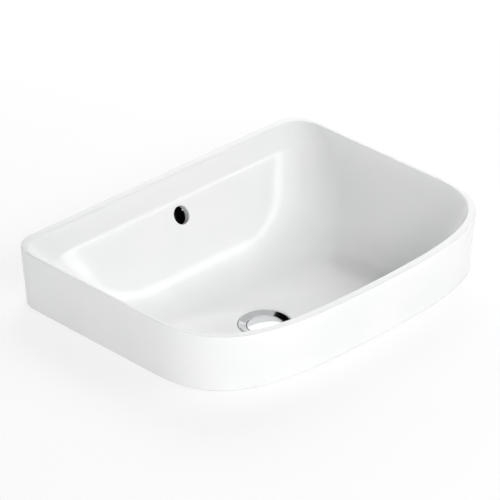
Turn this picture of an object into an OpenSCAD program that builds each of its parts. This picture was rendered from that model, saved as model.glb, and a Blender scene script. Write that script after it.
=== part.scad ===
// Countertop basin in glazed ceramic, with a click waste in its drain.
// Millimetres. The origin is the plan centre of the basin on the countertop plane,
// +Z up, +Y to the rear (the side with the overflow hole), +X to the right.

/* [Rim and skirt] */
// Width of the basin over its rim
basin_w = 500; // [460:10:560]
// Depth of the basin over its rim, front to rear
basin_d = 385; // [360:5:430]
// Height of the rim above the countertop
skirt_h = 76; // [66:2:96]
// Width of the rim's top at the sides
rim_side = 4.8; // [4.4:0.1:7.5]
// Width of the rim's top at the front and rear
rim_wide = 11.5; // [8:0.5:13]
// How far the skirt leans in at its foot, on each side
side_draft = 2; // [0:0.5:6]
// How far the skirt leans in at its foot, at the rear
rear_draft = 6; // [0:0.5:9]
// How far the skirt leans in at its foot, at the front
front_draft = 5; // [0:0.5:9]
// Reach of the rear corners' rounding
rear_corner = 37; // [28:1:46]
// Reach of the front corners' rounding along the front
front_corner_x = 166; // [150:2:180]
// Reach of the front corners' rounding along the side
front_corner_y = 111; // [96:1:120]
// How far the front bows out between its corners
front_bow = 19; // [8:1:26]
// Width of the flat foot that rests on the countertop
foot_w = 10; // [8:0.5:12]

/* [Bowl] */
// Thickness of the bowl's ceramic
bowl_wall = 9; // [7:0.5:10]
// Depth of the sloping band under the rim
band_drop = 21; // [16:1:26]
// Width of the sloping band at the rear
band_rear = 23; // [18:1:28]
// Width of the sloping band at the sides
band_side = 9.7; // [7:0.1:12]
// Width of the sloping band at the front
band_front = 5; // [3:0.5:8]
// Depth from the rim down to the drain
bowl_depth = 134.6; // [124:0.2:140]
// Diameter of the overflow hole
overflow_d = 24; // [20:1:28]
// Height of the overflow hole's centre above the countertop
overflow_z = 37.5; // [30:0.5:44]
// Diameter of the overflow duct behind the bowl
duct_d = 18; // [14:1:20]
// Wall of the overflow duct
duct_wall = 6; // [5:0.5:8]

/* [Drain] */
// Gap between the waste flange and its recess in the ceramic
recess_gap = 0.8; // [0.5:0.1:2]
// Gap between the waste's tail and the drain hole
drain_gap = 2.05; // [1.5:0.05:3]
// Height of the ceramic boss from the flange down to the washer
boss_h = 42; // [40:1:48]
// Wall of the boss round the drain hole, at its foot
boss_wall = 16; // [12:1:20]

/* [Waste] */
// Diameter of the thread on the tail
tail_d = 41.9; // [38:0.1:46]
// Wall of the tail
tail_wall = 2.35; // [2:0.05:3]
// Width of the sloping seat between the tail and the dish
dish_ledge = 2.65; // [2.4:0.05:3.5]
// Depth of the dish down to the cone that takes the plug
dish_h = 4; // [3.8:0.1:4.6]
// Width of the flange round the dish
flange_w = 10.2; // [9:0.1:11]
// How far the flange slopes down from its edge to the dish
flange_fall = 2.4; // [1.6:0.1:2.6]
// Thickness of the waste flange at its edge
flange_t = 2.6; // [2.4:0.1:3]
// Length of the tail below its nut, which takes the trap
tail_spare = 15.5; // [14:0.5:30]
// Thickness of the seal under the flange
flange_seal_t = 1.8; // [1.4:0.1:2]
// Width of each overflow window in the waste
window_w = 12; // [8:1:14]
// Height of each overflow window in the waste
window_h = 16; // [12:1:18]

/* [Plug] */
// Gap between the plug's cap and the dish
cap_inset = 0.7; // [0.6:0.1:1]
// Height that the plug rises when it clicks open
plug_travel = 9; // [7:0.5:10]
// Thickness of the plug's sealing ring
seal_t = 1.8; // [1.4:0.1:2]
// Diameter of the stud that joins cap and plunger
stud_d = 6; // [5:0.5:6.5]
// Diameter of the plunger
plunger_d = 8.8; // [8.4:0.1:9.4]
// Diameter of the click housing
housing_d = 16; // [15:0.5:18]
// Diameter of the spring's wire
spring_wire = 1.1; // [0.8:0.1:1.2]
// Turns of the spring
spring_turns = 4.5; // [3.5:0.5:5]

/* [Washers and nut] */
// Width of the cone washer and the slip washer round the tail
washer_w = 10.05; // [8:0.05:13]
// Thickness of the cone washer below the boss
cone_washer_t = 6; // [5:0.5:8]
// Height that the cone washer reaches up into the drain hole
cone_washer_lip = 3; // [2:0.5:4]
// Thickness of the slip washer
slip_washer_t = 1.5; // [1:0.1:2.5]
// Width of the backnut round the tail, to its flats
nut_w = 6.05; // [5:0.05:8]
// Thickness of the backnut
nut_t = 9; // [8:0.5:11]

/* [Hidden] */
$fn = 72;

// Small overlap that lets a cut run past the face it opens
eps = 0.5;
// Clearance between pieces that pass each other when the plug moves
pass_gap = 0.3;
// Running clearance of the plunger in its guide
guide_gap = 0.1;
// Clearance of a washer or nut round the thread
thread_gap = 0.1;

// Places of the drain
drain_z = skirt_h - bowl_depth;
boss_z = drain_z - boss_h;

// Sizes that follow from the tail's thread
tail_r = tail_d / 2;
bore_r = tail_r - tail_wall;
dish_r = tail_r + dish_ledge;
flange_r = dish_r + flange_w;
recess_r = flange_r + recess_gap;
drain_hole_r = tail_r + drain_gap;
boss_r = drain_hole_r + boss_wall;
cap_r = dish_r - cap_inset;
washer_r = tail_r + washer_w;
nut_r = tail_r + nut_w;

// Points of the outline on each stretch of its right half
n_rear = 5;
n_rear_corner = 8;
n_side = 4;
n_front_corner = 10;
n_front = 6;
// Samples on each span between control rings
n_span = 2;

// How strongly the corner curves are pulled to their tips, and what makes them round
front_pull = 0.74;
rear_pull = 0.6;
round_pull = 0.5523;
// Share of each half that the corners take on a full oval
oval_share = 0.97;
// Distance over which a ring's height changes from its rear to its side
rear_blend = 60;

function mix(a, b, t) = a + (b - a) * t;

function bezier(p0, p1, p2, p3, t) =
    p0 * pow(1 - t, 3) + p1 * 3 * t * pow(1 - t, 2) + p2 * 3 * t * t * (1 - t) + p3 * t * t * t;

// Right half of an outline, from the middle of the rear round to the middle of the front.
// w is the half width, yr and yf the rear and front reach, round runs from 0 for the
// rim's own corners to 1 for a full oval.
function half_outline(w, yr, yf, round) =
    let (
        wide = basin_w / 2,
        deep = basin_d,
        pull_f = mix(front_pull, round_pull, round),
        pull_r = mix(rear_pull, round_pull, round),
        bow = front_bow * (1 - round) * pow(w / wide, 2),
        mid = (yr + yf) / 2,
        rx = mix(rear_corner, w * oval_share, round),
        ry = mix(rear_corner, (yr - mid) * oval_share, round),
        fx = mix(front_corner_x * w / wide, w * oval_share, round),
        fy = mix(front_corner_y * (yr - yf) / deep, (mid - yf) * oval_share, round),
        ys = yf + bow + fy,
        xf = w - fx,
        yb = yf + bow * pow(xf / w, 2),
        lean = 2 * bow * xf / (w * w)
    )
    concat(
        [for (i = [0 : n_rear - 1]) [(w - rx) * i / n_rear, yr]],
        [for (i = [0 : n_rear_corner - 1]) bezier([w - rx, yr], [w - rx * (1 - pull_r), yr],
            [w, yr - ry * (1 - pull_r)], [w, yr - ry], i / n_rear_corner)],
        [for (i = [0 : n_side - 1]) [w, mix(yr - ry, ys, i / n_side)]],
        [for (i = [0 : n_front_corner - 1]) bezier([w, ys], [w, ys - fy * pull_f],
            [xf + fx * pull_f, yb + lean * fx * pull_f], [xf, yb], i / n_front_corner)],
        [for (i = [0 : n_front])
            let (x = xf * (1 - i / n_front)) [x, yf + bow * pow(x / w, 2)]]
    );

// A control ring: insets from the rim's outline at the side, rear and front, its heights
// there, and how round it is
function ring(side, rear, front, z_side, z_rear, round = 0) =
    let (
        w = basin_w / 2 - side,
        yr = basin_d / 2 - rear,
        yf = -basin_d / 2 + front,
        half = half_outline(w, yr, yf, round),
        last = len(half) - 1,
        left = [for (i = [last - 1 : -1 : 1]) [-half[i][0], half[i][1]]],
        all = concat(half, left)
    )
    [for (p = all)
        let (
            back = max(0, min(1, (p[1] - yr) / rear_blend + 1)),
            ease = back * back * (3 - 2 * back)
        )
        [p[0], p[1], mix(z_side, z_rear, ease)]];

// Control rings on the skirt's foot and on the rim at one inset all round, and at the inner
// edge of the rim's top, or back from it
function foot_ring(inset, z) =
    ring(side_draft + inset, rear_draft + inset, front_draft + inset, z, z);
function rim_ring(inset, z) = ring(inset, inset, inset, z, z);
function inner_ring(back) =
    ring(rim_side - back, rim_wide - back, rim_wide - back, skirt_h, skirt_h);

// A round control ring about the drain
function disc_ring(r, z) = ring(basin_w / 2 - r, basin_d / 2 - r, basin_d / 2 - r, z, z, 1);

// One row of the bowl: insets at side, rear and front, height, tilt from 0 for an upright
// wall to 90 for the floor, and roundness
band_z = skirt_h - band_drop;
band_in = rim_side + band_side;
band_rear_in = rim_wide + band_rear;
bowl_rows = [
    [band_in, band_rear_in, rim_wide + band_front, band_z, 25, 0.1],
    [band_in + 20, band_rear_in + 22, band_in + 20, band_z - 38, 27, 0.22],
    [band_in + 42, band_rear_in + 44, band_in + 40, drain_z + 28, 42, 0.4],
    [band_in + 92, band_rear_in + 76, band_in + 82, drain_z + 6.5, 82, 0.7]
];
function bowl_ring(row, t) =
    let (out = t * cos(row[4]), down = t * sin(row[4]), z = row[3] - down)
    ring(row[0] - out, row[1] - out, row[2] - out, z, z, row[5]);

// Rounding of the rim's and the foot's edges, and where its curve meets the rim's top
edge = 2.2;
edge_in = 1.8;
foot_edge = 1.5;
// Fall of the band just inside the rim, at the sides and at the rear
band_lip = 0.8;
band_rear_lip = 2.5;
// Boss under the drain: its rounded foot, and the flare into the underside of the bowl
boss_top = drain_z - bowl_wall;
boss_edge = 1;
boss_lip = 8;
flare_h = 14;
// Hollow between the bowl and the skirt: its top at the sides and at the rear
cavity_side = foot_w + 6.5;
cavity_z = band_z - 24;
cavity_rear_z = band_z + 2;
cavity_round = 1;
cavity_rear_round = 11;
// Crease between the band and the wall below it: its rings lie this share of the way to
// the rings beside them
crease = 0.13;
lip_ring = ring(rim_side + band_lip, rim_wide + band_rear_lip, rim_wide + band_lip,
    skirt_h - edge, skirt_h - edge);
band_ring = bowl_ring(bowl_rows[0], 0);
wall_ring = bowl_ring(bowl_rows[1], 0);
// Basin floor round the drain, which falls to the recess of the waste
apron = 12;
apron_rise = 0.8;
apron_sink = 0.5;

// Control rings of the ceramic, from the foot of the boss up its outside, round the foot
// of the skirt, over the rim and down the bowl to the drain
control = concat(
    [
        disc_ring(boss_r - boss_lip, boss_z),
        disc_ring(boss_r - boss_edge / 5, boss_z),
        disc_ring(boss_r, boss_z + boss_edge),
        disc_ring(boss_r + 2 * boss_edge, boss_top - flare_h),
        disc_ring(boss_r + boss_lip, boss_top - boss_edge)
    ],
    [for (i = [3 : -1 : 1]) bowl_ring(bowl_rows[i], bowl_wall)],
    [
        ring(cavity_side + cavity_round, cavity_side + cavity_rear_round,
            cavity_side + cavity_round, cavity_z + 2, cavity_rear_z - 8),
        ring(cavity_side - cavity_round, cavity_side, cavity_side - cavity_round,
            cavity_z, cavity_rear_z),
        foot_ring(foot_w, foot_edge * 2),
        foot_ring(foot_w, 0),
        foot_ring(foot_w - foot_edge, 0),
        foot_ring(foot_edge, 0),
        foot_ring(0, 0),
        foot_ring(0, foot_edge * 2),
        rim_ring(0, skirt_h - edge),
        rim_ring(0, skirt_h),
        rim_ring(edge_in, skirt_h),
        inner_ring(edge_in),
        inner_ring(0),
        lip_ring,
        mix(band_ring, lip_ring, crease),
        band_ring,
        mix(band_ring, wall_ring, crease),
        wall_ring,
        bowl_ring(bowl_rows[2], 0),
        bowl_ring(bowl_rows[3], 0),
        disc_ring(recess_r + apron, drain_z + apron_rise),
        disc_ring(recess_r - apron / 3, drain_z - apron_sink),
        disc_ring(recess_r / 2, drain_z - apron_sink)
    ]
);

// Rings of the skin: a quadratic curve through the control rings
function curve_ring(i, t) =
    [for (k = [0 : len(control[0]) - 1])
        control[i - 1][k] * 0.5 * pow(1 - t, 2)
            + control[i][k] * (0.5 + t - t * t)
            + control[i + 1][k] * 0.5 * t * t];
skin = concat(
    [control[0]],
    [for (i = [1 : len(control) - 2], s = [0 : n_span - 1]) curve_ring(i, s / n_span)],
    [control[len(control) - 1]]
);

// Closed skin from a list of rings, with a fan at each end
module loft(rings) {
    n = len(rings[0]);
    m = len(rings);
    points = concat([for (r = rings) each r],
        [[0, 0, rings[0][0][2]], [0, 0, rings[m - 1][0][2]]]);
    sides = [for (j = [0 : m - 2], i = [0 : n - 1])
        let (a = j * n + i, b = j * n + (i + 1) % n) each [[a, b, b + n], [a, b + n, a + n]]];
    foot_fan = [for (i = [0 : n - 1]) [n * m, (i + 1) % n, i]];
    top_fan = [for (i = [0 : n - 1])
        [n * m + 1, (m - 1) * n + i, (m - 1) * n + (i + 1) % n]];
    polyhedron(points = points, faces = concat(sides, foot_fan, top_fan));
}

// Straight round bar or bore between two points
module bar(a, b, r) {
    d = b - a;
    translate(a)
        rotate([0, acos(d[2] / norm(d)), atan2(d[1], d[0])])
            cylinder(r = r, h = norm(d));
}

// Overflow: its hole is square to the rear wall and opens into a chamber behind the bowl,
// wider than the hole, from which a duct follows the bowl down to the drain hole
wall_lean = atan((bowl_rows[1][1] - bowl_rows[0][1]) / (bowl_rows[0][3] - bowl_rows[1][3]));
wall_skin = bowl_wall - 1.3;
overflow_y = basin_d / 2 - band_rear_in - (band_z - overflow_z) * tan(wall_lean);
overflow_p = [0, overflow_y, overflow_z];
overflow_n = [0, cos(wall_lean), -sin(wall_lean)];
wall_down = [0, -sin(wall_lean), -cos(wall_lean)];
duct_r = duct_d / 2;
chamber_r = 10;
chamber_margin = 3.5;
chamber_half = overflow_d / 2 + chamber_margin - chamber_r;
chamber_mid = overflow_p + overflow_n * (wall_skin + chamber_r);
chamber_top = chamber_mid - wall_down * (overflow_d / 2 - 4);
chamber_foot = chamber_mid + wall_down * (overflow_d / 2 - 1);
// The duct's bends lie behind the second and third rows of the bowl, and it ends in the
// drain hole at the height of the waste's windows
duct_end_z = drain_z - 26;
duct_bend = [0, basin_d / 2 - bowl_rows[1][1] + 3, bowl_rows[1][3] - 39];
duct_knee = [0, basin_d / 2 - bowl_rows[2][1] - 17, drain_z - 8];
duct_end = [0, drain_hole_r - 4, duct_end_z];

// Stations down the overflow way, each a place, a half width and a radius: the hollow,
// or with grow its outside
function flue_rows(grow) = [
    [chamber_top - wall_down * (8 + grow * 1.6), chamber_half, chamber_r * 0.5 + grow * 0.7],
    [chamber_top - wall_down * (3 + grow / 2), chamber_half, chamber_r * 0.9 + grow],
    [chamber_top, chamber_half, chamber_r + grow],
    [chamber_foot, chamber_half, chamber_r + grow],
    [chamber_foot + wall_down * duct_r, chamber_half / 3, duct_r + grow],
    [duct_bend, 0, duct_r + grow],
    [duct_knee, 0, duct_r + grow],
    [duct_end, 0, duct_r + grow]
];
n_flue = 14;

// The overflow way as one tube in the middle plane, mitred at its bends
module overflow_way(grow) {
    rows = flue_rows(grow);
    m = len(rows);
    way = [for (j = [0 : m - 2]) rows[j + 1][0] - rows[j][0]];
    run = [for (d = way) d / norm(d)];
    points = [for (j = [0 : m - 1])
        let (
            before = run[max(0, j - 1)],
            after = run[min(m - 2, j)],
            mean = (before + after) / norm(before + after),
            stretch = 1 / (mean * after),
            across = [0, -mean[2], mean[1]] * stretch
        )
        for (k = [0 : n_flue - 1])
            let (a = 360 * (k + 0.5) / n_flue)
            rows[j][0] + across * rows[j][2] * sin(a)
                + [rows[j][2] * cos(a) + rows[j][1] * sign(cos(a)), 0, 0]];
    walls = [for (j = [0 : m - 2], k = [0 : n_flue - 1])
        let (p = j * n_flue, q = (k + 1) % n_flue)
        each [[p + k, p + q, p + n_flue + q], [p + k, p + n_flue + q, p + n_flue + k]]];
    top = [for (k = [n_flue - 1 : -1 : 0]) k];
    foot = [for (k = [0 : n_flue - 1]) (m - 1) * n_flue + k];
    polyhedron(points = points, faces = concat(walls, [top, foot]));
}

// Dish of the waste: its wall, and its cone from the dish down to the bore
dish_wall = 2.2;
cone_slope = 1.1;
cone_foot_z = -dish_h - (dish_r - bore_r) / cone_slope;

// Recess and hole of the drain, from heights measured from the flange's top
seat_gap = 0.6;
seat_r = dish_r + dish_wall + seat_gap;
seat_drop = flange_t + flange_seal_t;
module drain_cut() {
    above = 20;
    rotate_extrude()
        polygon([
            [0, above],
            [recess_r, above],
            [recess_r, -seat_drop],
            [seat_r, -seat_drop],
            [seat_r, -dish_h - 2.5 * seat_gap],
            [drain_hole_r, cone_foot_z - 3 * seat_gap],
            [drain_hole_r, -boss_h - eps],
            [0, -boss_h - eps]
        ]);
}

module basin_body() {
    color("white")
        difference() {
            union() {
                loft(skin);
                overflow_way(duct_wall);
            }
            overflow_way(0);
            bar(overflow_p - overflow_n * 2 * bowl_wall, chamber_mid, overflow_d / 2);
            translate([0, 0, drain_z])
                drain_cut();
        }
}

// Ring of revolution about the drain's axis, from a half profile measured from the flange
module turned(profile) {
    translate([0, 0, drain_z])
        rotate_extrude()
            polygon(profile);
}

// Points of an arc about a centre, for rounded edges in a half profile
function arc(centre, r, from, to, n = 6) =
    [for (i = [0 : n]) let (a = mix(from, to, i / n)) centre + r * [cos(a), sin(a)]];

// Radius of the dish's cone at a height below the flange
function cone_r(z) = dish_r - (-dish_h - z) * cone_slope;

// Heights on the waste, measured down from its flange
shoulder_z = cone_foot_z - 1.2;
shoulder_w = 1.2;
window_z = shoulder_z - 8;
nut_foot_z = -boss_h - cone_washer_t - slip_washer_t - nut_t;
waste_foot_z = nut_foot_z - tail_spare;
flange_lip = flange_t / 2;
dish_lip = 0.6;
// Slope of the flange, and the chamfer that thickens its root
flange_a = atan(flange_fall / (flange_w - flange_lip));
flange_root = 1.4;
// Groove that parts the nut's thread from the trap's, and the lead at the thread's end
groove_d = 0.5;
groove_h = 1.2;
thread_lead = 0.8;
module waste_body() {
    color("silver") {
        difference() {
            turned(concat(
                arc([flange_r - flange_lip, -flange_lip], flange_lip, -90, 90),
                arc([dish_r + dish_lip, -flange_fall - dish_lip], dish_lip, 90 + flange_a, 180),
                [
                    [dish_r, -dish_h],
                    [bore_r, cone_foot_z],
                    [bore_r, waste_foot_z],
                    [tail_r - thread_lead, waste_foot_z],
                    [tail_r, waste_foot_z + thread_lead],
                    [tail_r, nut_foot_z - groove_h],
                    [tail_r - groove_d, nut_foot_z - groove_h],
                    [tail_r - groove_d, nut_foot_z],
                    [tail_r, nut_foot_z],
                    [tail_r, shoulder_z - shoulder_w],
                    [tail_r + shoulder_w, shoulder_z],
                    [dish_r + dish_wall, -dish_h - shoulder_w],
                    [dish_r + dish_wall, -flange_t - flange_root],
                    [dish_r + dish_wall + flange_root, -flange_t]
                ]
            ));
            for (a = [0 : 90 : 270])
                rotate([0, 0, a + 45])
                    translate([bore_r - window_run, 0, drain_z + window_z])
                        waste_window();
        }
        waste_spider();
    }
}

// Overflow window: a slot with round ends, cut out of the tube
window_run = 4;
module waste_window() {
    depth = tail_wall + 2 * window_run;
    straight = window_h - window_w;
    for (z = [-window_w / 2, -window_w / 2 - straight])
        translate([0, 0, z])
            rotate([0, 90, 0])
                cylinder(d = window_w, h = depth);
    translate([0, -window_w / 2, -window_w / 2 - straight])
        cube([depth, window_w, straight]);
}

// Spider: four arms that carry the socket for the click housing
spider_boss_r = housing_d / 2;
spigot_r = spider_boss_r - 3;
arm_w = 4;
arm_root = 0.4;
module waste_spider() {
    translate([0, 0, drain_z + spider_z - spider_t])
        difference() {
            union() {
                cylinder(r = spider_boss_r, h = spider_t);
                for (a = [0, 90])
                    rotate([0, 0, a])
                        translate([-bore_r - arm_root, -arm_w / 2, 0])
                            cube([2 * (bore_r + arm_root), arm_w, spider_t]);
            }
            translate([0, 0, -eps])
                cylinder(r = spigot_r, h = spider_t + 2 * eps);
        }
}

// Rubber ring that seals the flange on the ceramic
seal_inset = 1.2;
module flange_seal() {
    inner_r = dish_r + dish_wall + flange_root + thread_gap;
    color("dimgray")
        turned([
            [inner_r, -flange_t],
            [flange_r - seal_inset, -flange_t],
            [flange_r - seal_inset, -seat_drop],
            [inner_r, -seat_drop]
        ]);
}

// Heights on the plug when it is closed, measured down from the flange
cap_gap = 0.8;
cap_edge = 0.9;
cap_t = 1.6;
cap_foot_z = -dish_h - (dish_r - cap_r - cap_gap) / cone_slope;
cap_rim_z = cap_foot_z + cap_t;
seal_foot_z = cap_foot_z - seal_t;
// Hub that carries the seal, its lip under the seal, and the boss for the stud
hub_r = bore_r - 4.6;
hub_lip_r = hub_r + 1;
hub_foot_z = seal_foot_z - 1.2;
stud_r = stud_d / 2;
cap_boss_r = stud_r + 3;
cap_boss_h = 9.5;
cap_boss_z = hub_foot_z - cap_boss_h;
stud_top_z = cap_foot_z - cap_gap;
module plug_cap() {
    dome_r = 160;
    flat_r = cap_r - cap_edge;
    dome_a = asin(flat_r / dome_r);
    dome_lift = dome_r * cos(dome_a);
    color("silver")
        difference() {
            turned(concat(
                [for (i = [0 : 8]) let (a = 90 - dome_a * i / 8)
                    [dome_r * cos(a), cap_rim_z + dome_r * sin(a) - dome_lift]],
                arc([flat_r, cap_rim_z - cap_edge], cap_edge, 90, 0),
                [
                    [cap_r - cap_edge / 2, cap_foot_z],
                    [hub_r, cap_foot_z],
                    [hub_r, seal_foot_z],
                    [hub_lip_r, seal_foot_z],
                    [hub_lip_r, hub_foot_z],
                    [cap_boss_r, hub_foot_z],
                    [cap_boss_r, cap_boss_z],
                    [0, cap_boss_z]
                ]
            ));
            translate([0, 0, drain_z + cap_boss_z - eps])
                cylinder(r = stud_r, h = stud_top_z - cap_boss_z + eps);
        }
}

// Rubber ring that closes on the cone of the dish
module plug_seal() {
    cone_gap = pass_gap * sqrt(1 + cone_slope * cone_slope);
    top_r = cap_r - cap_edge / 3;
    bend_z = -dish_h - (dish_r - top_r - cone_gap) / cone_slope;
    color("dimgray")
        turned([
            [hub_r, cap_foot_z],
            [top_r, cap_foot_z],
            [top_r, bend_z],
            [cone_r(seal_foot_z) - cone_gap, seal_foot_z],
            [hub_r, seal_foot_z]
        ]);
}

// Heights on the click mechanism, with the plug closed
plunger_r = plunger_d / 2;
locknut_t = 2.5;
locknut_w = 2.4;
plunger_top_z = cap_boss_z - locknut_t;
stud_grip = 4;
stud_foot_z = plunger_top_z - stud_grip;
lid_t = 2;
housing_top_z = plunger_top_z - locknut_w;
collar_r = plunger_r + 0.7;
collar_t = 2.5;
// Room that stays between the collar and the lid when the plug is open
stop_gap = 0.6;
collar_top_z = housing_top_z - lid_t - plug_travel - stop_gap;
plunger_foot_z = collar_top_z - collar_t;
// Gap between the spring's turns when the plug is closed
turn_gap = 0.8;
spring_h = spring_turns * (spring_wire + turn_gap);
spring_seat_z = plunger_foot_z - spring_h;
housing_floor_t = 1.6;
spider_z = spring_seat_z - housing_floor_t;
spider_t = 6;
// Latch pin, and the groove of the plunger that it runs in
pin_r = 0.8;
pin_z = housing_top_z - lid_t - 2 * pin_r;
pin_play = 0.4;
pin_tip = stud_r + pass_gap;

// Stud with a locknut, which sets the height of the cap
module plug_stud() {
    color("goldenrod")
        translate([0, 0, drain_z]) {
            translate([0, 0, stud_foot_z])
                cylinder(r = stud_r, h = stud_top_z - stud_foot_z);
            translate([0, 0, plunger_top_z])
                cylinder(r = stud_r + locknut_w, h = locknut_t, $fn = 6);
        }
}

// Plunger: its groove runs past the latch pin, and its collar stops it under the lid
module click_plunger() {
    color("goldenrod")
        translate([0, 0, drain_z])
            difference() {
                union() {
                    translate([0, 0, plunger_foot_z])
                        cylinder(r = plunger_r, h = plunger_top_z - plunger_foot_z);
                    translate([0, 0, plunger_foot_z])
                        cylinder(r = collar_r, h = collar_t);
                }
                translate([0, 0, stud_foot_z])
                    cylinder(r = stud_r, h = plunger_top_z - stud_foot_z + eps);
                translate([-pin_r - pin_play, stud_r, pin_z - plug_travel - pin_r - pin_play])
                    cube([
                        2 * (pin_r + pin_play),
                        collar_r,
                        plug_travel + 2 * (pin_r + pin_play)
                    ]);
            }
}

// Tube swept along a helix, with its ends cut square to the wire
module helix(r, wire_r, length, turns) {
    sides = 6;
    steps = 14;
    rings = ceil(turns * steps);
    rise = atan2(length, 2 * PI * r * turns);
    points = [for (i = [0 : rings], k = [0 : sides - 1])
        let (a = 360 * turns * i / rings, b = 360 * k / sides, flat = r + wire_r * cos(b))
        [
            flat * cos(a) + wire_r * sin(b) * sin(rise) * sin(a),
            flat * sin(a) - wire_r * sin(b) * sin(rise) * cos(a),
            length * i / rings + wire_r * sin(b) * cos(rise)
        ]];
    walls = [for (i = [0 : rings - 1], k = [0 : sides - 1])
        let (p = i * sides + k, q = i * sides + (k + 1) % sides)
        each [[p, p + sides, q + sides], [p, q + sides, q]]];
    foot = [for (k = [1 : sides - 2]) [0, k, k + 1]];
    top = [for (k = [1 : sides - 2]) let (o = rings * sides) [o, o + k + 1, o + k]];
    polyhedron(points = points, faces = concat(walls, foot, top));
}

spring_r = collar_r - spring_wire / 2 - guide_gap;
module click_spring() {
    length = spring_h - spring_wire;
    color("lightgray")
        translate([0, 0, drain_z + spring_seat_z + spring_wire / 2])
            helix(spring_r, spring_wire / 2, length, spring_turns);
}

// Housing: screwed into the spider by its spigot
module click_housing() {
    color("goldenrod")
        translate([0, 0, drain_z])
            difference() {
                union() {
                    translate([0, 0, spider_z])
                        cylinder(d = housing_d, h = housing_top_z - spider_z);
                    translate([0, 0, spider_z - spider_t])
                        cylinder(r = spigot_r, h = spider_t);
                }
                translate([0, 0, spring_seat_z])
                    cylinder(r = collar_r + pass_gap, h = housing_top_z - lid_t - spring_seat_z);
                translate([0, 0, housing_top_z - lid_t - eps])
                    cylinder(r = plunger_r + guide_gap, h = lid_t + 2 * eps);
                translate([0, 0, pin_z])
                    rotate([-90, 0, 0])
                        cylinder(r = pin_r, h = housing_d);
            }
}

// Pin that runs in the plunger's groove and holds it down until the next push
module latch_pin() {
    color("lightgray")
        translate([0, pin_tip, drain_z + pin_z])
            rotate([-90, 0, 0])
                cylinder(r = pin_r, h = housing_d / 2 - pin_tip);
}

// Rubber cone washer: it reaches up into the drain hole and seals the foot of the boss
washer_in = tail_r + thread_gap;
cone_washer_foot_z = -boss_h - cone_washer_t;
washer_taper = 1;
cone_taper = 0.6;
module cone_washer() {
    cone_top_r = drain_hole_r - thread_gap;
    color("dimgray")
        turned([
            [washer_in, -boss_h + cone_washer_lip],
            [cone_top_r - cone_taper, -boss_h + cone_washer_lip],
            [cone_top_r, -boss_h],
            [washer_r, -boss_h],
            [washer_r - washer_taper, cone_washer_foot_z],
            [washer_in, cone_washer_foot_z]
        ]);
}

// Slip washer: lets the nut turn without dragging the rubber
module slip_washer() {
    color("whitesmoke")
        turned([
            [washer_in, cone_washer_foot_z],
            [washer_r - washer_taper, cone_washer_foot_z],
            [washer_r - washer_taper, cone_washer_foot_z - slip_washer_t],
            [washer_in, cone_washer_foot_z - slip_washer_t]
        ]);
}

// Backnut: draws the waste down on its seals
module backnut() {
    chamfer = 2.4;
    corner_r = nut_r / cos(30);
    color("goldenrod")
        translate([0, 0, drain_z + nut_foot_z])
            difference() {
                intersection() {
                    cylinder(r = corner_r, h = nut_t, $fn = 6);
                    rotate_extrude()
                        polygon([
                            [0, 0],
                            [nut_r, 0],
                            [corner_r, chamfer],
                            [corner_r, nut_t - chamfer],
                            [nut_r, nut_t],
                            [0, nut_t]
                        ]);
                }
                translate([0, 0, -eps])
                    cylinder(r = washer_in, h = nut_t + 2 * eps);
            }
}

basin_body();
waste_body();
flange_seal();
plug_cap();
plug_seal();
plug_stud();
click_plunger();
click_spring();
click_housing();
latch_pin();
cone_washer();
slip_washer();
backnut();
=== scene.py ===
import math

import bpy
import numpy as np
from mathutils import Matrix, Vector


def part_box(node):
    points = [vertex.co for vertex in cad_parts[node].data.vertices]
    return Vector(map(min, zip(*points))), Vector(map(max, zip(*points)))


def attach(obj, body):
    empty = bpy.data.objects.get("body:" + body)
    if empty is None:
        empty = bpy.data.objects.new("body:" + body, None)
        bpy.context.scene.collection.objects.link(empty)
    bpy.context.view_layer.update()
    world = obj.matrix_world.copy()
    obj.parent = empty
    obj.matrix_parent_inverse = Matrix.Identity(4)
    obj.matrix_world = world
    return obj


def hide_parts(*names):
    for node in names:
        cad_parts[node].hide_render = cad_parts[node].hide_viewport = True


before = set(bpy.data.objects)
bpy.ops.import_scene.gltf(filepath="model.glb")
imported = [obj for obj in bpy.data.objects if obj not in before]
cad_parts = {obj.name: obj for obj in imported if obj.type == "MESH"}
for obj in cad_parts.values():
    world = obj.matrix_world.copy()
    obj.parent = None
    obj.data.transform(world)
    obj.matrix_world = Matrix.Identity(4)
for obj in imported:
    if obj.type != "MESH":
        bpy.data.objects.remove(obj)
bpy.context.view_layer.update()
scene = bpy.context.scene
mm = 0.001

# Viewpoint: the basin is seen from its front left corner and from above, through a long lens
# from about 4.4 m away, so that the rim's sides stay almost parallel.
view_azimuth = math.radians(-45.288)
view_elevation = math.radians(29.371)
view_roll = math.radians(0.26)
view_distance = 4.418
view_offset = (19.032 * mm, 40.136 * mm)
picture_width = 500
focal_pixels = 3575
sensor = 36.0

backwards = Vector((
    math.sin(view_azimuth) * math.cos(view_elevation),
    -math.cos(view_azimuth) * math.cos(view_elevation),
    math.sin(view_elevation)))
level_right = (-backwards).cross(Vector((0, 0, 1))).normalized()
level_up = level_right.cross(-backwards)
right = math.cos(view_roll) * level_right + math.sin(view_roll) * level_up
up = -math.sin(view_roll) * level_right + math.cos(view_roll) * level_up
camera = bpy.data.objects.new("camera", bpy.data.cameras.new("camera"))
scene.collection.objects.link(camera)
camera_place = Matrix((right, up, backwards)).transposed().to_4x4()
camera_place.translation = backwards * view_distance - right * view_offset[0] + up * view_offset[1]
camera.matrix_world = camera_place
camera.data.sensor_width = sensor
camera.data.lens = focal_pixels / picture_width * sensor
camera.data.clip_end = 100
scene.camera = camera
scene.view_settings.view_transform = "Standard"

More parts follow.
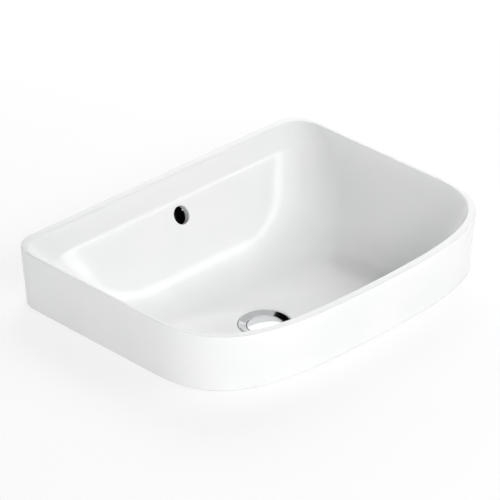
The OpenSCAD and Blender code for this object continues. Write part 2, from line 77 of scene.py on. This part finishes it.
# Ceramic basin: vitreous china, slip-cast in one piece with its rim, skirt, bowl, overflow
# duct and drain boss, glazed white all over except under the foot and the boss, which are bare
# clay. The duct's hollow is painted near-black as shade. It rests on the worktop by the foot of
# its skirt, and the bowl hangs through the cut-out.
basin_low, basin_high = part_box("basin_body")
waste_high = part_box("waste_body")[1]
half_w = basin_high.x
half_d = basin_high.y
rim_z = basin_high.z
boss_z = basin_low.z
drain_z = waste_high.z

# Outline: the rim's corners, the front's bow, and how far the skirt draws in down to its foot
rear_corner = 37 * mm
front_corner_x = 166 * mm
front_corner_y = 111 * mm
front_bow = 19 * mm
side_draft = 2 * mm
rear_draft = 6 * mm
front_draft = 5 * mm

# Walls and edges: the rim's top is narrow at the sides and wide at the front and rear
rim_side = 4.8 * mm
rim_wide = 11.5 * mm
rim_edge = 2.2 * mm
rim_edge_in = 1.8 * mm
foot_w = 10 * mm
foot_edge = 1.5 * mm
bowl_wall = 9 * mm

# Band: it slopes from the rim's inner edge down to the crease where the bowl's wall starts
band_z = rim_z - 21 * mm
band_in = rim_side + 9.7 * mm
band_rear_in = rim_wide + 23 * mm
band_front_in = rim_wide + 5 * mm

# How full the corners are: the pull of their curves, and that of a true quarter circle
front_pull = 0.74
rear_pull = 0.6
round_pull = 0.5523
oval_share = 0.97
rear_blend = 60 * mm
rear_even = 0.3
points_on = {"rear": 26, "rear_corner": 22, "side": 16, "front_corner": 52, "front": 20}


def mix(a, b, t):
    """The value a share t of the way from a to b."""
    return a + (b - a) * t


def bezier(p0, p1, p2, p3, count):
    """Points of a cubic curve, without its last one."""
    t = (np.arange(count) / count)[:, None]
    corners = [np.array(p, float) for p in (p0, p1, p2, p3)]
    weights = ((1 - t) ** 3, 3 * t * (1 - t) ** 2, 3 * t * t * (1 - t), t ** 3)
    return sum(w * c for w, c in zip(weights, corners))


def half_outline(w, yr, yf, oval):
    """Right half of an outline, from the middle of the rear to the middle of the front."""
    pull_f = mix(front_pull, round_pull, oval)
    pull_r = mix(rear_pull, round_pull, oval)
    bow = front_bow * (1 - oval) * (w / half_w) ** 2
    mid = (yr + yf) / 2
    rx = mix(rear_corner, w * oval_share, oval)
    ry = mix(rear_corner, (yr - mid) * oval_share, oval)
    fx = mix(front_corner_x * w / half_w, w * oval_share, oval)
    fy = mix(front_corner_y * (yr - yf) / (2 * half_d), (mid - yf) * oval_share, oval)
    ys = yf + bow + fy
    xf = w - fx
    yb = yf + bow * (xf / w) ** 2
    lean = 2 * bow * xf / (w * w)
    # Closer points at the middle of the rear, where the overflow hole lies
    s = np.arange(points_on["rear"]) / points_on["rear"]
    crowded = s * (rear_even + (1 - rear_even) * s)
    rear = np.stack([(w - rx) * crowded, np.full_like(s, yr)], 1)
    s = np.arange(points_on["side"]) / points_on["side"]
    side = np.stack([np.full_like(s, w), mix(yr - ry, ys, s)], 1)
    s = np.arange(points_on["front"] + 1) / points_on["front"]
    front = np.stack([xf * (1 - s), yf + bow * (xf * (1 - s) / w) ** 2], 1)
    return np.concatenate([
        rear,
        bezier((w - rx, yr), (w - rx * (1 - pull_r), yr), (w, yr - ry * (1 - pull_r)),
               (w, yr - ry), points_on["rear_corner"]),
        side,
        bezier((w, ys), (w, ys - fy * pull_f), (xf + fx * pull_f, yb + lean * fx * pull_f),
               (xf, yb), points_on["front_corner"]),
        front])


def ring(side, rear, front, z_side, z_rear, oval=0.0):
    """A control ring by its insets from the rim, its heights and how oval it is."""
    yr = half_d - rear
    half = half_outline(half_w - side, yr, -half_d + front, oval)
    left = half[-2:0:-1] * (-1, 1)
    plan = np.concatenate([half, left])
    back = np.clip((plan[:, 1] - yr) / rear_blend + 1, 0, 1)
    ease = back * back * (3 - 2 * back)
    return np.column_stack([plan, mix(z_side, z_rear, ease)])


def round_ring(r, z):
    """A true circle about the drain, its points in line with those of the other rings."""
    reach = 100 * mm
    oval = ring(half_w - reach, half_d - reach, half_d - reach, z, z, 1.0)
    turn = np.arctan2(oval[:, 1], oval[:, 0])
    return np.column_stack([r * np.cos(turn), r * np.sin(turn), oval[:, 2]])


# Rows of the bowl: insets at side, rear and front, height, tilt of the wall, ovalness
bowl_rows = [
    (band_in, band_rear_in, band_front_in, band_z, 25, 0.1),
    (band_in + 20 * mm, band_rear_in + 22 * mm, band_in + 20 * mm, band_z - 38 * mm, 27, 0.22),
    (band_in + 42 * mm, band_rear_in + 44 * mm, band_in + 40 * mm, drain_z + 28 * mm, 42, 0.4),
    (band_in + 92 * mm, band_rear_in + 76 * mm, band_in + 82 * mm, drain_z + 6.5 * mm, 82, 0.7)]


def bowl_ring(row, depth):
    """The ring of a row, or one that lies deeper in the wall."""
    side, rear, front, z, tilt, oval = row
    out = depth * math.cos(math.radians(tilt))
    z = z - depth * math.sin(math.radians(tilt))
    return ring(side - out, rear - out, front - out, z, z, oval)


def foot_ring(inset, z):
    """A ring of the skirt, inset from the outline of its foot."""
    return ring(side_draft + inset, rear_draft + inset, front_draft + inset, z, z)


def rim_ring(inset, z):
    """A ring of the skirt or rim, inset from the rim's outline."""
    return ring(inset, inset, inset, z, z)


def inner_ring(back):
    """The inner edge of the rim's top, or a ring back from it."""
    return ring(rim_side - back, rim_wide - back, rim_wide - back, rim_z, rim_z)


# Sizes of the drain, from the waste that it takes, and of the hollow under the skirt
recess_gap = 0.8 * mm
recess_r = waste_high.x + recess_gap
seat_r = 26.4 * mm
seat_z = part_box("flange_seal")[0].z
hole_r = 23 * mm
cone_top_z = drain_z - 5.5 * mm
cone_end_z = drain_z - 10.4 * mm
boss_wall = 16 * mm
boss_r = hole_r + boss_wall
boss_top = drain_z - bowl_wall
cavity_in = foot_w + 6.5 * mm
cavity_z = band_z - 24 * mm
cavity_rear_z = band_z + 2 * mm
fine = 0.5 * mm

# Control rings of the skin, from the drain hole's foot up the outside, over the rim and down
# the bowl. Rings that lie close together make a tight edge.
control = [
    round_ring(hole_r + fine, boss_z),
    round_ring(boss_r - 8 * mm, boss_z),
    round_ring(boss_r - 0.2 * mm, boss_z),
    round_ring(boss_r, boss_z + 1 * mm),
    round_ring(boss_r + 2 * mm, boss_top - 14 * mm),
    round_ring(boss_r + 8 * mm, boss_top - 1 * mm),
    bowl_ring(bowl_rows[3], bowl_wall),
    bowl_ring(bowl_rows[2], bowl_wall),
    bowl_ring(bowl_rows[1], bowl_wall),
    ring(cavity_in + 1 * mm, cavity_in + 11 * mm, cavity_in + 1 * mm,
         cavity_z + 2 * mm, cavity_rear_z - 8 * mm),
    ring(cavity_in - 1 * mm, cavity_in, cavity_in - 1 * mm, cavity_z, cavity_rear_z),
    foot_ring(foot_w, foot_edge * 2),
    foot_ring(foot_w, 0),
    foot_ring(foot_w - foot_edge, 0),
    foot_ring(foot_edge, 0),
    foot_ring(0, 0),
    foot_ring(0, foot_edge * 2),
    rim_ring(0, rim_z - rim_edge),
    rim_ring(0, rim_z),
    rim_ring(rim_edge_in, rim_z),
    inner_ring(rim_edge_in),
    inner_ring(0)]
# Crease between the band below the rim and the wall of the bowl
crease = 0.13
lip_ring = ring(rim_side + 0.8 * mm, rim_wide + 2.5 * mm, rim_wide + 0.8 * mm,
                rim_z - rim_edge, rim_z - rim_edge)
band_ring = bowl_ring(bowl_rows[0], 0)
wall_ring = bowl_ring(bowl_rows[1], 0)
control += [lip_ring, mix(band_ring, lip_ring, crease)]
band_knot = len(control)
control += [band_ring, mix(band_ring, wall_ring, crease), wall_ring]
control += [bowl_ring(row, 0) for row in bowl_rows[2:]]
control += [
    round_ring(recess_r + 12 * mm, drain_z + 0.8 * mm),
    round_ring(recess_r + 3 * mm, drain_z),
    round_ring(recess_r + fine, drain_z - 0.2 * mm),
    round_ring(recess_r, drain_z - 0.6 * mm),
    round_ring(recess_r, seat_z + fine),
    round_ring(recess_r - fine, seat_z),
    round_ring(seat_r + fine, seat_z),
    round_ring(seat_r, seat_z - fine),
    round_ring(seat_r, cone_top_z + fine),
    round_ring(seat_r - fine, cone_top_z - fine),
    round_ring(hole_r, cone_end_z),
    round_ring(hole_r, cone_end_z - 2 * mm),
    round_ring(hole_r, boss_z + 1 * mm),
    round_ring(hole_r, boss_z + fine)]
control = np.array(control)
ring_count = len(control)
around = control.shape[1]


def spline_weights(t):
    """Weights of the four control rings on a span of a closed cubic B-spline."""
    return ((1 - t) ** 3 / 6, (3 * t ** 3 - 6 * t ** 2 + 4) / 6,
            (-3 * t ** 3 + 3 * t ** 2 + 3 * t + 1) / 6, t ** 3 / 6)


def skin_at(knot, t, column=slice(None)):
    """The skin between control rings knot and knot + 1, for one column or all of them."""
    rows = [control[(knot + k) % ring_count][column] for k in (-1, 0, 1, 2)]
    return sum(w * row for w, row in zip(spline_weights(t), rows))


# Short spans, such as the rounded edges, take few rings, and the bowl's long walls take many
ring_step = 4.5 * mm
fewest_rings = 3
most_rings = 12
skin_rings = []
for knot in range(ring_count):
    reach = np.linalg.norm(skin_at(knot, 1.0) - skin_at(knot, 0.0), axis=1).max()
    count = int(min(most_rings, max(fewest_rings, round(reach / ring_step))))
    skin_rings += [(knot, skin_at(knot, k / count)) for k in range(count)]
skin_points = np.array([points for knot, points in skin_rings])

# Overflow hole: square to the rear wall, with a softly rounded lip in the glaze
wall_lean = math.atan2(bowl_rows[1][1] - bowl_rows[0][1], bowl_rows[0][3] - bowl_rows[1][3])
overflow_r = 12 * mm
overflow_z = 37.5 * mm
lip_r = 1 * mm
wall_up = np.array([0, math.sin(wall_lean), math.cos(wall_lean)])
wall_in = np.array([0, math.cos(wall_lean), -math.sin(wall_lean)])
sideways = np.array([1.0, 0, 0])
profile_step = 0.02
profile = np.array([skin_at(band_knot + k, t, 0)
                    for k in range(-2, 4) for t in np.arange(0, 1, profile_step)])
overflow_y = np.interp(-overflow_z, -profile[:, 2], profile[:, 1])
overflow_centre = np.array([0, overflow_y, overflow_z])
profile_height = (profile - overflow_centre) @ wall_up
profile_depth = (profile - overflow_centre) @ wall_in
falling = np.argsort(profile_height)


def wall_point(x, height, depth):
    """A point near the overflow: across, up the wall, and in from the glazed surface."""
    surface = np.interp(height, profile_height[falling], profile_depth[falling])
    return overflow_centre + sideways * x + wall_up * height + wall_in * (surface + depth)


# The cells of the skin round the hole make way for a patch that runs out to a circle
patch_half = 25 * mm
row_height = (skin_points[:, 0] - overflow_centre) @ wall_up
bowl_side = np.array([knot >= band_knot - 2 for knot, points in skin_rings])
patch_rows = np.where(bowl_side & (np.abs(row_height) < patch_half)
                      & (skin_points[:, 0, 1] > 0) & (skin_points[:, 0, 2] > 0))[0]
row_a, row_b = patch_rows[0], patch_rows[-1]
column_m = int(np.sum(skin_points[patch_rows[0], :around // 2, 0] < patch_half)) - 1

verts = [tuple(p) for points in skin_points for p in points]
faces = []
rows_total = len(skin_points)
for j in range(rows_total):
    for i in range(around):
        inside_rows = row_a <= j < row_b
        inside_columns = i < column_m or i >= around - column_m
        if inside_rows and inside_columns:
            continue
        a, b = j * around + i, j * around + (i + 1) % around
        c, d = (j + 1) % rows_total * around + (i + 1) % around, (j + 1) % rows_total * around + i
        faces.append((a, b, c, d))

columns = list(range(-column_m, column_m + 1))
edge_loop = [(row_a, i) for i in columns]
edge_loop += [(j, column_m) for j in range(row_a + 1, row_b)]
edge_loop += [(row_b, i) for i in reversed(columns)]
edge_loop += [(j, -column_m) for j in range(row_b - 1, row_a, -1)]
loop = [j * around + i % around for j, i in edge_loop]
loop_points = np.array([verts[k] for k in loop])
loop_x = loop_points[:, 0]
loop_height = (loop_points - overflow_centre) @ wall_up
loop_turn = np.arctan2(loop_height, loop_x)
patch_steps = 7
patch_crowding = 1.4
lip_steps = 6
wall_skin = bowl_wall - 1.3 * mm
bore_depths = (4.2 * mm, wall_skin + 1 * mm, wall_skin + 3.3 * mm)
tracks = []
for k in range(1, patch_steps + 1):
    share = 1 - (1 - k / patch_steps) ** patch_crowding
    x = mix(loop_x, (overflow_r + lip_r) * np.cos(loop_turn), share)
    height = mix(loop_height, (overflow_r + lip_r) * np.sin(loop_turn), share)
    tracks.append([wall_point(*p, 0.0) for p in zip(x, height)])
lip_height = (overflow_r + lip_r) * np.sin(loop_turn)
for k in range(1, lip_steps + 1):
    bend = math.pi / 2 * k / lip_steps
    r = overflow_r + lip_r * (1 - math.sin(bend))
    depth = lip_r * (1 - math.cos(bend))
    tracks.append([wall_point(r * math.cos(a), r * math.sin(a), depth) for a in loop_turn])
for depth in bore_depths:
    tracks.append([overflow_centre + overflow_r * (math.cos(a) * sideways + math.sin(a) * wall_up)
                   + depth * wall_in for a in loop_turn])
previous = loop
for track in tracks:
    start = len(verts)
    verts += [tuple(p) for p in track]
    current = list(range(start, len(verts)))
    for k in range(len(loop)):
        n = (k + 1) % len(loop)
        faces.append((previous[k], previous[n], current[n], current[k]))
    previous = current
verts.append(tuple(overflow_centre + bore_depths[-1] * wall_in))
for k in range(len(loop)):
    faces.append((previous[k], previous[(k + 1) % len(loop)], len(verts) - 1))


def new_mesh(name, verts, faces):
    """A mesh object with its faces turned outwards."""
    mesh = bpy.data.meshes.new(name)
    mesh.from_pydata([tuple(v) for v in verts], [], faces)
    mesh.update()
    obj = bpy.data.objects.new(name, mesh)
    scene.collection.objects.link(obj)
    places = np.array([v.co for v in mesh.vertices])
    mesh.calc_loop_triangles()
    triangles = np.array([t.vertices for t in mesh.loop_triangles])
    a, b, c = (places[triangles[:, n]] for n in range(3))
    volume = np.einsum("ij,ij->i", a, np.cross(b, c)).sum()
    if volume < 0:
        mesh.flip_normals()
    return obj


# The overflow's chamber and duct behind the wall: stations down the middle plane
duct_r = 9 * mm
duct_wall = 6 * mm
chamber_r = 10 * mm
chamber_half = overflow_r + 3.5 * mm - chamber_r
chamber_mid = overflow_centre + wall_in * (wall_skin + chamber_r)
chamber_top = chamber_mid + wall_up * (overflow_r - 4 * mm)
chamber_foot = chamber_mid - wall_up * (overflow_r - 1 * mm)
duct_bend = np.array([0, half_d - bowl_rows[1][1] + 3 * mm, bowl_rows[1][3] - 39 * mm])
duct_knee = np.array([0, half_d - bowl_rows[2][1] - 17 * mm, drain_z - 8 * mm])
duct_end = np.array([0, hole_r - 4 * mm, drain_z - 26 * mm])
flue_sides = 36
bend_start = 0.75
bend_steps = 4
shell_front = 8.7 * mm


def flue(name, grow):
    """The hollow of the overflow way, or with grow its outside, as one closed tube."""
    key = [
        (chamber_top + wall_up * (8 * mm + grow * 1.6), chamber_half, chamber_r * 0.5 + grow * 0.7),
        (chamber_top + wall_up * (3 * mm + grow / 2), chamber_half, chamber_r * 0.9 + grow),
        (chamber_top, chamber_half, chamber_r + grow),
        (chamber_foot, chamber_half, chamber_r + grow),
        (chamber_foot - wall_up * duct_r, chamber_half / 3, duct_r + grow),
        (duct_bend, 0, duct_r + grow),
        (duct_knee, 0, duct_r + grow),
        (duct_end, 0, duct_r + grow)]
    # Rounded bends: each station between the ends is cut back along both of its runs
    rows = [key[0]]
    for before, here, after in zip(key, key[1:], key[2:]):
        for k in range(bend_steps + 1):
            t = k / bend_steps
            rows.append([mix(before[n], here[n], bend_start) * (1 - t) ** 2
                         + here[n] * 2 * t * (1 - t)
                         + mix(here[n], after[n], 1 - bend_start) * t * t for n in range(3)])
    rows.append(key[-1])
    points = []
    for j, (place, half, r) in enumerate(rows):
        run = rows[min(j + 1, len(rows) - 1)][0] - rows[max(j - 1, 0)][0]
        run = run / np.linalg.norm(run)
        across = np.array([0, -run[2], run[1]])
        for k in range(flue_sides):
            a = 2 * math.pi * (k + 0.5) / flue_sides
            point = place + across * r * math.sin(a)
            point = point + sideways * (r * math.cos(a) + math.copysign(half, math.cos(a)))
            deep = (point - overflow_centre) @ wall_in
            high = (point - overflow_centre) @ wall_up
            if grow and abs(high) < patch_half and deep < shell_front:
                point = point + wall_in * (shell_front - deep)
            points.append(point)
    walls = [(j * flue_sides + k, j * flue_sides + (k + 1) % flue_sides,
              (j + 1) * flue_sides + (k + 1) % flue_sides, (j + 1) * flue_sides + k)
             for j in range(len(rows) - 1) for k in range(flue_sides)]
    ends = [tuple(range(flue_sides))[::-1],
            tuple((len(rows) - 1) * flue_sides + k for k in range(flue_sides))]
    return new_mesh(name, points, walls + ends)


basin = new_mesh("ceramic_basin", verts, faces)


def new_finish(name):
    """A new material, with its node tree and its shader."""
    material = bpy.data.materials.new(name)
    material.use_nodes = True
    tree = material.node_tree
    return material, tree, tree.nodes["Principled BSDF"]


def add(tree, kind, **values):
    """A shader node, with its settings and the values of its named sockets."""
    node = tree.nodes.new(kind)
    for key, value in values.items():
        if key in node.inputs:
            node.inputs[key].default_value = value
        else:
            setattr(node, key, value)
    return node


def noise(tree, scale, detail, roughness):
    """Noise over the piece's own coordinates."""
    place = add(tree, "ShaderNodeTexCoord")
    node = add(tree, "ShaderNodeTexNoise", Scale=scale, Detail=detail, Roughness=roughness)
    tree.links.new(place.outputs["Object"], node.inputs["Vector"])
    return node


def tint(tree, shader, pattern, low, high, dark, light):
    """Colours the finish by a pattern, from dark below low to light above high."""
    node = add(tree, "ShaderNodeValToRGB")
    first, last = node.color_ramp.elements
    first.position = low
    first.color = (*dark, 1)
    last.position = high
    last.color = (*light, 1)
    tree.links.new(pattern.outputs["Fac"], node.inputs["Fac"])
    tree.links.new(node.outputs["Color"], shader.inputs["Base Color"])


def haze(tree, shader, pattern, low, high):
    """Lets a pattern vary the roughness between two values."""
    node = add(tree, "ShaderNodeMapRange")
    node.inputs["To Min"].default_value = low
    node.inputs["To Max"].default_value = high
    tree.links.new(pattern.outputs["Fac"], node.inputs["Value"])
    tree.links.new(node.outputs["Result"], shader.inputs["Roughness"])


def relief(tree, shader, pattern, strength, depth):
    """Raises a pattern as fine relief."""
    node = add(tree, "ShaderNodeBump", Strength=strength, Distance=depth)
    tree.links.new(pattern.outputs["Fac"], node.inputs["Height"])
    tree.links.new(node.outputs["Normal"], shader.inputs["Normal"])


# Glaze: clear and glossy over white china, a touch cooler in soft random patches, with the faint
# waviness that a sprayed glaze keeps after firing
glaze, tree, shader = new_finish("white_glaze")
cloud = noise(tree, 9.0, 3.0, 0.5)
tint(tree, shader, cloud, 0.35, 0.7, (0.872, 0.884, 0.882), (0.9, 0.903, 0.898))
wave = noise(tree, 55.0, 2.0, 0.4)
haze(tree, shader, wave, 0.09, 0.15)
relief(tree, shader, wave, 0.25, 0.12 * mm)
shader.inputs["IOR"].default_value = 1.52

# Bare clay under the foot and under the drain boss: dry, slightly warm, with the grain of the cast
# body
bare_clay, tree, shader = new_finish("bare_clay")
grain = noise(tree, 900.0, 4.0, 0.7)
tint(tree, shader, grain, 0.3, 0.75, (0.5, 0.47, 0.43), (0.62, 0.59, 0.54))
relief(tree, shader, grain, 0.5, 0.2 * mm)
shader.inputs["Roughness"].default_value = 0.9

# Painted shade: a near-black colour on the duct's hollow and the back of the overflow's bore
duct_painted_shade, tree, shader = new_finish("duct_painted_shade")
grain = noise(tree, 300.0, 3.0, 0.6)
tint(tree, shader, grain, 0.3, 0.75, (0.004, 0.004, 0.004), (0.012, 0.012, 0.011))
shader.inputs["Roughness"].default_value = 0.95
shader.inputs["Specular IOR Level"].default_value = 0.1

glazed, bare, dark = 0, 1, 2
shell = flue("duct_shell", duct_wall)
hollow = flue("duct_hollow", 0.0)
# The duct's hollow takes the near-black painted shade
for obj, finish in ((basin, glazed), (shell, glazed), (hollow, dark)):
    for material in (glaze, bare_clay, duct_painted_shade):
        obj.data.materials.append(material)
    obj.data.polygons.foreach_set("material_index", [finish] * len(obj.data.polygons))


def combine(body, tool, operation):
    """Adds the tool's solid to the body's, or cuts it out, and deletes the tool."""
    step = body.modifiers.new(operation, "BOOLEAN")
    step.operation = operation
    step.object = tool
    step.solver = "EXACT"
    step.material_mode = "INDEX"
    bpy.context.view_layer.update()
    graph = bpy.context.evaluated_depsgraph_get()
    result = bpy.data.meshes.new_from_object(body.evaluated_get(graph))
    body.modifiers.clear()
    body.data = result
    bpy.data.objects.remove(tool)


combine(basin, shell, "UNION")
combine(basin, hollow, "DIFFERENCE")

# The faces that stand on the worktop and on the washer are bare, and the duct's mouth gets painted
# shade
facing_down = -0.9
face_gap = 0.3 * mm
sharp_angle = math.radians(40)
centres = np.zeros(len(basin.data.polygons) * 3)
basin.data.polygons.foreach_get("center", centres)
normals = np.zeros(len(basin.data.polygons) * 3)
basin.data.polygons.foreach_get("normal", normals)
centres = centres.reshape(-1, 3)
normals = normals.reshape(-1, 3)
finish = np.zeros(len(basin.data.polygons), int)
basin.data.polygons.foreach_get("material_index", finish)
finish[(np.abs(centres[:, 2]) < face_gap) & (normals[:, 2] < facing_down)] = bare
finish[(centres[:, 2] < boss_z + face_gap) & (normals[:, 2] < facing_down)] = bare
from_hole = centres - overflow_centre
deep = from_hole @ wall_in
off_axis = np.linalg.norm(from_hole - deep[:, None] * wall_in, axis=1)
# Painted shade at the back of the overflow's bore
finish[(deep > bore_depths[1]) & (deep < bore_depths[2]) & (off_axis < overflow_r)] = dark
basin.data.polygons.foreach_set("material_index", finish)
basin.data.shade_smooth()
basin.data.set_sharp_from_angle(angle=sharp_angle)
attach(basin, "basin")
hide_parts("basin_body")


def refinish(node, material):
    """Gives a CAD node its finish."""
    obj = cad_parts[node]
    obj.data.materials.clear()
    obj.data.materials.append(material)


# Waste and plug cap: turned brass under polished chrome plate, a touch hazy from cleaning. The
# flange sits on its seal in the ceramic recess, and the domed cap closes on the cone inside it.
chrome, tree, shader = new_finish("polished_chrome")
film = noise(tree, 70.0, 4.0, 0.6)
tint(tree, shader, film, 0.3, 0.7, (0.72, 0.73, 0.745), (0.78, 0.79, 0.8))
haze(tree, shader, film, 0.05, 0.12)
shader.inputs["Metallic"].default_value = 1.0
refinish("waste_body", chrome)
refinish("plug_cap", chrome)

# Rubber seals: black moulded rubber, under the flange, on the plug and below the boss, where
# the cone washer reaches up into the drain hole.
rubber, tree, shader = new_finish("black_rubber")
grain = noise(tree, 700.0, 4.0, 0.6)
tint(tree, shader, grain, 0.3, 0.7, (0.022, 0.022, 0.024), (0.045, 0.045, 0.048))
relief(tree, shader, grain, 0.3, 0.1 * mm)
shader.inputs["Roughness"].default_value = 0.65
for node in ("flange_seal", "plug_seal", "cone_washer"):
    refinish(node, rubber)

# Stud, plunger, housing and backnut: turned from brass bar and left unplated, with the fine
# rings of the turning tool. The housing sits in the waste's spider, the stud joins cap and
# plunger, and the nut draws the waste down from below.
brass, tree, shader = new_finish("turned_brass")
turning = (60, 60, 2500)
place = add(tree, "ShaderNodeTexCoord")
stretch = add(tree, "ShaderNodeMapping")
stretch.inputs["Scale"].default_value = turning
lines = add(tree, "ShaderNodeTexNoise", Scale=1.0, Detail=5.0, Roughness=0.7)
tree.links.new(place.outputs["Object"], stretch.inputs["Vector"])
tree.links.new(stretch.outputs["Vector"], lines.inputs["Vector"])
tint(tree, shader, lines, 0.3, 0.7, (0.62, 0.45, 0.2), (0.78, 0.6, 0.32))
haze(tree, shader, lines, 0.22, 0.38)
relief(tree, shader, lines, 0.2, 0.05 * mm)
shader.inputs["Metallic"].default_value = 1.0
for node in ("plug_stud", "click_plunger", "click_housing", "backnut"):
    refinish(node, brass)

# Spring and latch pin: drawn stainless wire. The spring is coiled and stands in the housing
# under the plunger, and the pin is pressed into the housing's side.
wire, tree, shader = new_finish("drawn_wire")
grain = noise(tree, 1500.0, 3.0, 0.6)
tint(tree, shader, grain, 0.3, 0.7, (0.5, 0.5, 0.52), (0.62, 0.62, 0.64))
shader.inputs["Metallic"].default_value = 1.0
shader.inputs["Roughness"].default_value = 0.3
for node in ("click_spring", "latch_pin"):
    refinish(node, wire)

# Slip washer: moulded from natural nylon. It lies between the cone washer and the backnut and
# lets the nut turn without dragging the rubber.
nylon, tree, shader = new_finish("natural_nylon")
cloud = noise(tree, 200.0, 3.0, 0.5)
tint(tree, shader, cloud, 0.3, 0.7, (0.78, 0.77, 0.72), (0.84, 0.83, 0.79))
shader.inputs["Roughness"].default_value = 0.45
refinish("slip_washer", nylon)

# Worktop: a plain white plane with the basin's cut-out, so that the bowl can hang through it.
# It isn't part of the object. The camera and mirrors see it as the white ground of the picture,
# with the basin's soft shadow, and for the light it is a plain painted board.
floor_gap = 0.2 * mm
floor_radii = (0.6, 1.5, 4.0, 14.0)
glow_share = 0.7
board = (0.8, 0.8, 0.8, 1)
white = (1, 1, 1, 1)
cut = foot_ring(foot_w / 2, -floor_gap)
cut_reach = np.linalg.norm(cut[:, :2], axis=1)[:, None]
loops = [cut]
for r in floor_radii:
    loops.append(np.column_stack([cut[:, :2] / cut_reach * r, cut[:, 2]]))
floor_points = np.concatenate(loops)
floor_faces = [(j * around + i, j * around + (i + 1) % around,
                (j + 1) * around + (i + 1) % around, (j + 1) * around + i)
               for j in range(len(loops) - 1) for i in range(around)]
floor_mesh = bpy.data.meshes.new("worktop")
floor_mesh.from_pydata([tuple(p) for p in floor_points], [], floor_faces)
floor = bpy.data.objects.new("worktop", floor_mesh)
scene.collection.objects.link(floor)
if floor_mesh.polygons[0].normal.z < 0:
    floor_mesh.flip_normals()


def seen_rays(tree):
    """A socket that is 1 for camera, glossy and transmission rays, and 0 for all others."""
    path = add(tree, "ShaderNodeLightPath")
    either = add(tree, "ShaderNodeMath", operation="MAXIMUM")
    tree.links.new(path.outputs["Is Camera Ray"], either.inputs[0])
    tree.links.new(path.outputs["Is Glossy Ray"], either.inputs[1])
    seen = add(tree, "ShaderNodeMath", operation="MAXIMUM")
    tree.links.new(either.outputs[0], seen.inputs[0])
    tree.links.new(path.outputs["Is Transmission Ray"], seen.inputs[1])
    return seen.outputs[0]


floor_white, tree, shader = new_finish("floor_white")
tree.nodes.remove(shader)
lit = add(tree, "ShaderNodeBsdfDiffuse", Color=board)
shown_lit = add(tree, "ShaderNodeBsdfDiffuse", Color=white)
glow = add(tree, "ShaderNodeEmission", Strength=1.0)
shown = add(tree, "ShaderNodeMixShader")
shown.inputs[0].default_value = glow_share
tree.links.new(shown_lit.outputs[0], shown.inputs[1])
tree.links.new(glow.outputs[0], shown.inputs[2])
choice = add(tree, "ShaderNodeMixShader")
tree.links.new(seen_rays(tree), choice.inputs[0])
tree.links.new(lit.outputs[0], choice.inputs[1])
tree.links.new(shown.outputs[0], choice.inputs[2])
tree.links.new(choice.outputs[0], tree.nodes["Material Output"].inputs["Surface"])
floor_mesh.materials.append(floor_white)

# Studio: a white room that the camera, glossy and transmission rays see at strength 1, and that
# gives next to no light. Soft lamps all round light the basin, and the glaze mirrors only two of
# them, wide banks at the front right. Cards behind the basin are seen by mirrors alone: a black,
# a grey and a white one give the chrome its contrast, and the rim card whitens the rim's top.
room_light = 0.03
world = bpy.data.worlds.new("studio")
world.use_nodes = True
scene.world = world
tree = world.node_tree
tree.nodes.clear()
strength = add(tree, "ShaderNodeMapRange")
strength.inputs["To Min"].default_value = room_light
strength.inputs["To Max"].default_value = 1.0
tree.links.new(seen_rays(tree), strength.inputs["Value"])
background = add(tree, "ShaderNodeBackground", Color=white)
tree.links.new(strength.outputs["Result"], background.inputs["Strength"])
output = add(tree, "ShaderNodeOutputWorld")
tree.links.new(background.outputs[0], output.inputs["Surface"])


def studio_place(azimuth, elevation, distance):
    """A place round the basin: degrees to the right of the front, and above the worktop."""
    a, e = math.radians(azimuth), math.radians(elevation)
    direction = Vector((math.sin(a) * math.cos(e), -math.cos(a) * math.cos(e), math.sin(e)))
    return direction * distance


def lamp(name, azimuth, elevation, power, width=1.4, height=1.4, distance=2.6, mirrored=False):
    """A soft lamp that faces the basin: its place in degrees and metres, its power in watts."""
    data = bpy.data.lights.new(name, "AREA")
    data.shape = "RECTANGLE"
    data.size = width
    data.size_y = height
    data.energy = power
    obj = bpy.data.objects.new(name, data)
    scene.collection.objects.link(obj)
    obj.location = studio_place(azimuth, elevation, distance)
    obj.rotation_euler = (-obj.location).to_track_quat("-Z", "Y").to_euler()
    obj.visible_glossy = mirrored


lamp("rear_right", 130, 35, 38)
lamp("front_right", 35, 40, 15)
lamp("left_low", -100, 8, 12.5)
lamp("front_left", -25, 40, 16)
lamp("low_left", -60, 10, 11)
lamp("low_front_left", -45, 3, 11, width=2.0, height=0.2)
lamp("rear_low", 165, 12, 24)
lamp("rear_left", -165, 12, 7)
lamp("bank", 22, 29, 18, width=5.7, height=0.5, distance=2.4, mirrored=True)
lamp("high_bank", 10, 40, 13, width=5.7, height=1.1, distance=2.4, mirrored=True)


def card(name, azimuth, elevation, distance, width, height, level, turn=0):
    """A card at a plain level that only mirroring surfaces see, turned about its middle."""
    mesh = bpy.data.meshes.new(name)
    x, y = width / 2, height / 2
    mesh.from_pydata([(-x, -y, 0), (x, -y, 0), (x, y, 0), (-x, y, 0)], [], [(0, 1, 2, 3)])
    obj = bpy.data.objects.new(name, mesh)
    scene.collection.objects.link(obj)
    obj.location = studio_place(azimuth, elevation, distance)
    facing = (-obj.location).to_track_quat("-Z", "Y").to_matrix()
    obj.rotation_euler = (facing @ Matrix.Rotation(math.radians(turn), 3, "Z")).to_euler()
    material, tree, shader = new_finish(name)
    tree.nodes.remove(shader)
    light = add(tree, "ShaderNodeEmission", Strength=level)
    tree.links.new(light.outputs[0], tree.nodes["Material Output"].inputs["Surface"])
    mesh.materials.append(material)
    obj.visible_camera = False
    obj.visible_diffuse = False
    obj.visible_transmission = False
    obj.visible_shadow = False


card("black_card", 161, 43.5, 2.0, 0.78, 0.95, level=0.0)
card("grey_card", 121, 49, 2.1, 0.6, 1.4, level=0.6, turn=-32)
card("white_card", 135, 42, 2.4, 1.0, 1.0, level=1.0)
card("rim_card", 135, 28, 2.35, 1.0, 0.82, level=1.6)
